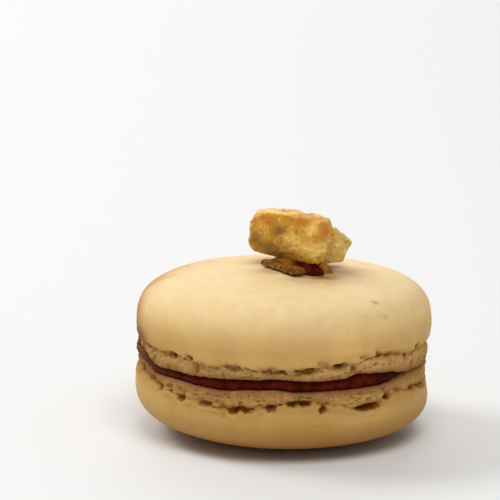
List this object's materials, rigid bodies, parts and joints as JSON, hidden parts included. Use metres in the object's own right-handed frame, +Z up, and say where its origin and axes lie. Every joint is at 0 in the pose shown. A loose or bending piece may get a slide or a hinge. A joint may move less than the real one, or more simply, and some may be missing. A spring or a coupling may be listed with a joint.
{
  "type": "french macaron",
  "caption": "Sandwich of domed almond meringue shells with frilled feet around a thin dark chocolate layer, topped with caramel praline set in a dab of chocolate.",
  "frame": {"origin": "on the resting face, below the middle of the top shell", "axes": "+Z up through both shells, -Y towards the side where the praline shows its broad face, +X to its right"},
  "size_m": [0.0451, 0.045, 0.0335],
  "materials": {
    "meringue": "baked almond meringue, matte",
    "ganache": "dark chocolate ganache, satin",
    "praline": "set caramel with nuts, glossy"
  },
  "bodies": {
    "root": {"bottom_shell": "meringue", "filling": "ganache", "top_shell": "meringue", "ganache_dab": "ganache", "praline_block": "praline", "praline_shard": "praline", "praline_chip": "praline"}
  },
  "joints": []
}
